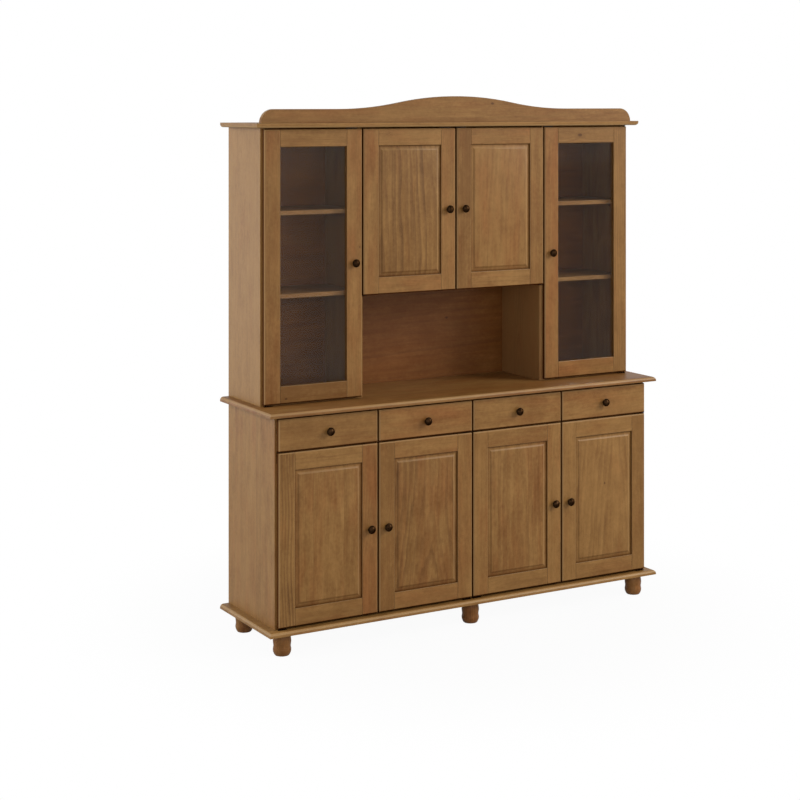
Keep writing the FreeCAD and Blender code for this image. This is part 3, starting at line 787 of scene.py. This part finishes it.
def curveOf(net, value, outline):
    # a float curve through the outline's points
    curve = net.tree.nodes.new("ShaderNodeFloatCurve")
    line = curve.mapping.curves[0]
    line.points[0].location = outline[0]
    line.points[1].location = outline[-1]
    for share in outline[1:-1]:
        line.points.new(*share)
    curve.mapping.update()
    net.tree.links.new(value.out, curve.inputs["Value"])
    return Sock(net.tree, curve.outputs[0])


# Turned pieces: a tube of rows whose radius follows an outline of (height share, radius share)
def unitTube(net, given):
    # one metre high and of one metre radius; the last value is a point's share of the height
    tube = net.node("GeometryNodeMeshCylinder", {"fill_type": "NGON"}, {
        "Vertices": given["Sides"], "Side Segments": given["Rows"], "Radius": 1.0, "Depth": 1.0})
    x, y, z = net.node("GeometryNodeInputPosition", {}, {}).parts()
    return tube, x, y, z + 0.5


def endTube(net, given, tube, place):
    endTree(net, given, net.node("GeometryNodeSetPosition", {}, {"Geometry": tube, "Position": place}))


def turnedTree(name, sizes, outline):
    tree, net, given = geometryTree(name, sizes)
    tube, x, y, level = unitTube(net, given)
    reach = curveOf(net, level, outline) * given["Radius"]
    endTube(net, given, tube, net.joined(x * reach, y * reach, level * given["Height"]))
    return tree


sameSize = (1.0, 1.0, 1.0)

# Bun feet: two round swells with a waist between them, drawn in at the floor and under the board
footSizes = {"Height": 0.078, "Radius": 0.0325, "Sides": 64, "Rows": 60}
footOutline = [(0.0, 0.78), (0.02, 0.82), (0.06, 0.875), (0.13, 0.95), (0.24, 1.0), (0.35, 0.965),
               (0.425, 0.945), (0.50, 0.965), (0.61, 1.0), (0.72, 0.985), (0.86, 0.92), (1.0, 0.82)]
footTone = (0.10, 0.30)
footBoard = {"redness": 0.60, "stave": onePlank, "lines": 0.5}
footTree = turnedTree("turnedFoot", footSizes, footOutline)


def makeFeet():
    places = []
    for faces in solidsOf("bun_feet"):
        low, high = boxOf(faces)
        places.append((((low.x + high.x) / 2, (low.y + high.y) / 2, 0), (0, 0, 1), sameSize))
    feet = runTree(footTree, "bun_feet_turned", places, "cabinet", footSizes, pine)
    whole = bmesh.new()
    whole.from_mesh(feet.data)
    parts = []
    for row in places:
        # each foot is cut out of the whole to get its own grain
        centre = Vector(row[0]).xy
        reach = 2 * footSizes["Radius"]
        others = [vert.index for vert in whole.verts if (vert.co.xy - centre).length > reach]
        foot = whole.copy()
        foot.verts.ensure_lookup_table()
        bmesh.ops.delete(foot, geom=[foot.verts[index] for index in others], context="VERTS")
        addBoard(foot, toneSpread["foot"], 2, dict(footBoard, tone=chance.uniform(*footTone)), 0.0)
        parts.append(foot)
    whole.free()
    joinInto(feet.data, parts)
    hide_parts("bun_feet")


makeFeet()

# Knobs: a foot ring, a slim neck and a broad domed head
knobSizes = {"Height": 0.024, "Radius": 0.015, "Sides": 48, "Rows": 48}
knobOutline = [(0.0, 0.52), (0.05, 0.52), (0.09, 0.40), (0.20, 0.37), (0.33, 0.42), (0.42, 0.66),
               (0.48, 0.93), (0.54, 1.0), (0.62, 0.99), (0.72, 0.90), (0.84, 0.69), (0.93, 0.46),
               (0.98, 0.25), (1.0, 0.10)]
knobTree = turnedTree("turnedKnob", knobSizes, knobOutline)
strikeThick = 0.002


def fittingsOf(body):
    # the knob reaches furthest to the front, strikes are thin plates, sockets and glides are moulded
    solids = sorted(solidsOf(body + "_fittings"), key=lambda faces: boxOf(faces)[0].y)
    strikes = []
    moulded = []
    for faces in solids[1:]:
        low, high = boxOf(faces)
        group = strikes if high.y - low.y < strikeThick else moulded
        group.append(faces)
    return solids[0], strikes, moulded


def makeFittings(body):
    node = body + "_fittings"
    knobFaces, strikes, moulded = fittingsOf(body)
    low, high = boxOf(knobFaces)
    place = ((low.x + high.x) / 2, high.y, (low.z + high.z) / 2)
    knob = runTree(knobTree, body + "_knob", [(place, (0, -1, 0), sameSize)], body, knobSizes, bronze)
    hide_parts(node)
    for name, solids, material, slot in (("_strike", strikes, bronze, "bronze"),
                                         ("_sockets", moulded, plastic, "plastic")):
        if solids:
            parts = [meshOf(faces) for faces in solids]
            piece = addObject(body + name, parts, material, body, softEdge["fitting"])
            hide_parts(node)


for body in doors + drawers:
    makeFittings(body)
print("feet and knobs made")

# Plates and panes keep their solids
for node, material in (("pivot_plates", bronze), ("glass_door_left_glass", glass),
                       ("glass_door_right_glass", glass)):
    data = frame["nodes"][node].data
    data.materials.clear()
    data.materials.append(material)

# Magnetic catches: a block between two ears, with two pole strips in its front
catchSizes = {"ear": 0.008, "earThick": 0.005, "earMargin": 0.002, "inset": 0.0006, "pole": 0.0022,
              "poleGap": 0.0045, "poleMargin": 0.002, "poleDepth": 0.004}


def blockMesh(low, high):
    mesh = bmesh.new()
    bmesh.ops.create_cube(mesh, size=1.0)
    for vert in mesh.verts:
        vert.co = [(low[k] + high[k]) / 2 + vert.co[k] * (high[k] - low[k]) for k in range(3)]
    return mesh


def makeCatches():
    blocks = []
    poles = []
    ear = catchSizes["ear"]
    half = catchSizes["pole"] / 2
    for faces in solidsOf("magnet_catches"):
        low, high = boxOf(faces)
        blocks.append(blockMesh((low.x + ear, low.y + catchSizes["inset"], low.z),
                                (high.x - ear, high.y, high.z)))
        blocks.append(blockMesh((low.x, low.y + catchSizes["earMargin"], high.z - catchSizes["earThick"]),
                                (high.x, high.y - catchSizes["earMargin"], high.z)))
        left = low.x + ear + catchSizes["poleMargin"]
        right = high.x - ear - catchSizes["poleMargin"]
        for side in (-1, 1):
            level = (low.z + high.z) / 2 + side * catchSizes["poleGap"]
            poles.append(blockMesh((left, low.y, level - half),
                                   (right, low.y + catchSizes["poleDepth"], level + half)))
    for name, parts, material, slot in (("catch_blocks", blocks, plastic, "plastic"),
                                        ("catch_poles", poles, bronze, "bronze")):
        piece = addObject(name, parts, material, "cabinet", softEdge["catch"])
        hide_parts("magnet_catches")


makeCatches()

# Screws: one low round head with a four-armed recess, stretched for each place it sits in. Both outlines
# run from the seat over the dome and down into the recess, one for the radius and one for the height.
screwSizes = {"Height": 0.0010, "Radius": 0.0030, "Sides": 40, "Rows": 14}
screwReach = [(0.0, 1.0), (0.22, 1.0), (0.34, 0.93), (0.50, 0.62), (0.56, 0.56), (0.72, 0.46), (0.86, 0.22),
              (1.0, 0.04)]
screwLevel = [(0.0, 0.0), (0.22, 0.40), (0.34, 0.70), (0.50, 0.97), (0.56, 1.0), (0.72, 0.45), (0.86, 0.18),
              (1.0, 0.15)]
screwArms = {"start": 0.30, "end": 0.60, "depth": 0.42, "waist": 8.0}


def screwTree(name, sizes):
    tree, net, given = geometryTree(name, sizes)
    tube, x, y, level = unitTube(net, given)
    arms = 1.0 - x * x * y * y * screwArms["waist"]
    arms = level.ramp(screwArms["start"], screwArms["end"]) * screwArms["depth"] * arms
    reach = curveOf(net, level, screwReach) * given["Radius"] * (1.0 + arms)
    height = curveOf(net, level, screwLevel) * given["Height"]
    endTube(net, given, tube, net.joined(x * reach, y * reach, height))
    return tree


crossScrew = screwTree("crossScrew", screwSizes)
# how much each kind of screw is stretched across and in height
plateScrew = (0.85, 0.85, 0.5)
strikeScrew = (0.8, 0.8, 0.15)
battenScrew = (1.25, 1.25, 1.2)
knobScrew = (1.5, 1.5, 1.8)
backScrew = (1.2, 1.2, 0.8)
screwPlaces = {
    "near": 0.0005,                # corners closer than this are at the same end
    "pin": 0.004,                  # pins are longer than this, plates and legs are thinner
    "besidePin": (0.010, 0.021),
    "bracket": 0.03,               # angle brackets are taller than this
    "fromTip": (0.006, 0.020),
    "strike": 0.012,
    "ear": 0.0035,
    "batten": 0.035,
    "battenStep": 0.2,
    "backStep": 0.17,
    "backMargin": 0.012,
    "innerFront": 0.012,
}


def evenly(low, high, step):
    count = max(1, round((high - low) / step))
    return [low + (high - low) * k / count for k in range(count + 1)]


def plateScrews(faces):
    # the pin stands near one end of its plate, both screws sit beside it on the same face
    low, high = boxOf(faces)
    corners = [co for face in faces for co in face]
    ends = [co.z for co in corners if co.x < low.x + screwPlaces["near"]]
    pinUp = high.z - max(ends) > screwPlaces["pin"]
    level = max(ends) if pinUp else min(ends)
    pin = [co.x for co in corners if abs(co.z - level) > screwPlaces["pin"]]
    pinX = (min(pin) + max(pin)) / 2
    side = 1 if low.x + high.x > 2 * pinX else -1
    return [((pinX + side * step, (low.y + high.y) / 2, level), (0, 0, 1 if pinUp else -1), plateScrew)
            for step in screwPlaces["besidePin"]]


def bracketScrews(faces):
    # the upright leg ends thin, away from the plate with the pin
    low, high = boxOf(faces)
    corners = [co for face in faces for co in face]
    rows = []
    for end, way in ((low.z, 1), (high.z, -1)):
        tip = [co for co in corners if abs(co.z - end) < screwPlaces["near"]]
        front = min(co.y for co in tip)
        if max(co.y for co in tip) - front < screwPlaces["pin"]:
            middle = (min(co.x for co in tip) + max(co.x for co in tip)) / 2
            rows += [((middle, front, end + way * step), (0, -1, 0), plateScrew)
                     for step in screwPlaces["fromTip"]]
    return rows


def catchScrews(faces):
    low, high = boxOf(faces)
    level = high.z - catchSizes["earThick"]
    return [((x, (low.y + high.y) / 2, level), (0, 0, -1), plateScrew)
            for x in (low.x + screwPlaces["ear"], high.x - screwPlaces["ear"])]


def battenScrews(faces, walls):
    # the free face looks away from the nearest wall
    low, high = boxOf(faces)
    leftFar = min(abs(low.x - wall) for wall in walls)
    rightFar = min(abs(high.x - wall) for wall in walls)
    free, way = (high.x, 1) if leftFar < rightFar else (low.x, -1)
    margin = screwPlaces["batten"]
    return [((free, y, (low.z + high.z) / 2), (way, 0, 0), battenScrew)
            for y in evenly(low.y + margin, high.y - margin, screwPlaces["battenStep"])]


def backScrews(faces):
    # all round the panel's edge
    low, high = boxOf(faces)
    margin = screwPlaces["backMargin"]
    left, right, foot, top = low.x + margin, high.x - margin, low.z + margin, high.z - margin
    edge = {(x, z) for x in evenly(left, right, screwPlaces["backStep"]) for z in (foot, top)}
    edge |= {(x, z) for z in evenly(foot, top, screwPlaces["backStep"]) for x in (left, right)}
    return [((x, high.y, z), (0, 1, 0), backScrew) for x, z in sorted(edge)]


def cabinetScrews():
    rows = []
    for faces in solidsOf("pivot_plates"):
        low, high = boxOf(faces)
        rows += bracketScrews(faces) if high.z - low.z > screwPlaces["bracket"] else plateScrews(faces)
    for faces in solidsOf("magnet_catches"):
        rows += catchScrews(faces)
    uprights = ("base_sides", "base_dividers", "hutch_sides", "hutch_dividers")
    walls = [corner.x for node in uprights for faces in solidsOf(node) for corner in boxOf(faces)]
    for faces in solidsOf("shelf_battens"):
        rows += battenScrews(faces, walls)
    for faces in solidsOf("back_panels"):
        rows += backScrews(faces)
    return rows


def doorScrews(body):
    # two through the strike plate, and one behind the knob
    knobFaces, strikes, _ = fittingsOf(body)
    low, high = boxOf(knobFaces)
    if body in doors:
        back = max(boxOf(faces)[1].y for faces in solidsOf(body + "_frame"))
    else:
        back = min(boxOf(faces)[0].y for faces in solidsOf(body + "_box")) + screwPlaces["innerFront"]
    rows = [(((low.x + high.x) / 2, back, (low.z + high.z) / 2), (0, 1, 0), knobScrew)]
    for faces in strikes:
        low, high = boxOf(faces)
        for side in (-1, 1):
            x = (low.x + high.x) / 2 + side * screwPlaces["strike"]
            rows.append(((x, high.y, (low.z + high.z) / 2), (0, 1, 0), strikeScrew))
    return rows


for body in ["cabinet"] + doors + drawers:
    rows = cabinetScrews() if body == "cabinet" else doorScrews(body)
    screws = runTree(crossScrew, body + "_screws", rows, body, screwSizes, bronze)
print("catches and screws made")

# Floor and white surroundings. Near the piece the floor keeps its shadow, further out it is plain white.
floorLook = {
    "near": 0.95,              # share of white close to the piece
    "start": 0.6,
    "end": 1.6,
    "gloss": 0.40,
    "low": (0.50, 0.50, 0.50, 1),
    "high": (0.54, 0.54, 0.54, 1),
    "mottle": (3.0, 3.0, 3.0),
    "roughness": 0.9,
    "reach": 40,
}
roomLight = {"soft": 0.35, "seen": 1.0, "gloss": 0.7}
white = (1, 1, 1, 1)


def seenShare(net, gloss):
    # 1 for what is seen straight or through the panes, gloss for what is mirrored
    ray = net.node("ShaderNodeLightPath", {}, {}, "Is Camera Ray")
    ray = ray + net.node("ShaderNodeLightPath", {}, {}, "Is Glossy Ray") * gloss
    ray = ray + net.node("ShaderNodeLightPath", {}, {}, "Is Transmission Ray")
    return ray.atMost(1.0)


def floorMaterial(look):
    material, net = newMaterial("paleFloor")
    place = net.node("ShaderNodeTexCoord", {}, {}, "Object")
    x, y, _ = place.parts()
    far = ((x * x + y * y) ** 0.5).ramp(look["start"], look["end"])
    base = place.noise(look["mottle"]).blend(look["low"], look["high"])
    lit = net.node("ShaderNodeBsdfPrincipled", {}, {"Base Color": base, "Roughness": look["roughness"]})
    plain = net.node("ShaderNodeEmission", {}, {"Color": white, "Strength": 1.0})
    share = seenShare(net, look["gloss"]) * (far * (1.0 - look["near"]) + look["near"])
    putOut(net, net.node("ShaderNodeMixShader", {}, {0: share, 1: lit, 2: plain}))
    return material


floorData = bpy.data.meshes.new("studioFloor")
reach = floorLook["reach"]
floorData.from_pydata([(-reach, -reach, 0), (reach, -reach, 0), (reach, reach, 0), (-reach, reach, 0)], [],
                      [(0, 1, 2, 3)])
floorData.materials.append(floorMaterial(floorLook))
floor = bpy.data.objects.new("studioFloor", floorData)
bpy.context.scene.collection.objects.link(floor)

world = bpy.data.worlds.new("studio")
world.use_nodes = True
world.node_tree.nodes.clear()
sky = Sock(world.node_tree)
soft = sky.node("ShaderNodeBackground", {}, {"Color": white, "Strength": roomLight["soft"]})
plain = sky.node("ShaderNodeBackground", {}, {"Color": white, "Strength": roomLight["seen"]})
room = sky.node("ShaderNodeMixShader", {}, {0: seenShare(sky, roomLight["gloss"]), 1: soft, 2: plain})
sky.node("ShaderNodeOutputWorld", {}, {"Surface": room})
bpy.context.scene.world = world

# Lamps: place, what each looks at, width, watts and colour
warmWhite = (1.0, 0.98, 0.95)
lamps = {
    "keyRight": ((4.6, -3.6, 3.8), (0, 0, 1.0), 3.0, 315, warmWhite),
    "front": ((0.6, -5.5, 2.0), (0, 0, 1.0), 2.5, 33, warmWhite),
    "frontRight": ((2.2, -5.5, 0.9), (0, 0, 1.0), 2.7, 8, (1.0, 0.95, 0.88)),
    "frontLeft": ((-2.6, -4.4, 2.0), (0, 0, 1.0), 2.4, 44, warmWhite),
    "sideLeft": ((-4.6, 0.9, 2.4), (-0.8, 0, 0.9), 2.6, 136, (0.96, 1.0, 1.06)),
    "backLeft": ((-3.2, 4.4, 1.0), (-0.8, 0, 1.0), 3.2, 30, (0.94, 1.0, 1.10)),
}
for name, (place, target, width, watts, colour) in lamps.items():
    data = bpy.data.lights.new(name, "AREA")
    data.shape = "DISK"
    data.size = width
    data.energy = watts
    data.color = colour
    lamp = bpy.data.objects.new(name, data)
    lamp.location = place
    lamp.rotation_euler = (Vector(target) - Vector(place)).to_track_quat("-Z", "Y").to_euler()
    bpy.context.scene.collection.objects.link(lamp)

# Camera of the photograph: level, with the picture shifted down. Focal length and horizon are in pixels
# of the picture, the distances in metres from the back of the worktop and from the middle.
view = {"back": 5.9255, "left": 3.48121, "height": 1.94783, "yaw": 29.87, "focal": 1747.7, "horizon": 102.02,
        "picture": 800, "sensor": 36, "clip": 200}
lens = bpy.data.cameras.new("photoCamera")
lens.sensor_width = view["sensor"]
lens.lens = view["focal"] / view["picture"] * view["sensor"]
lens.shift_y = view["horizon"] / view["picture"] - 0.5
lens.clip_end = view["clip"]
camera = bpy.data.objects.new("photoCamera", lens)
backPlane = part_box("worktop")[1].y
camera.location = (-view["left"], backPlane - view["back"], view["height"])
camera.rotation_euler = (math.radians(90), 0, math.radians(-view["yaw"]))
bpy.context.scene.collection.objects.link(camera)
bpy.context.scene.camera = camera
bpy.context.scene.view_settings.view_transform = "Standard"
print("stage and camera set")
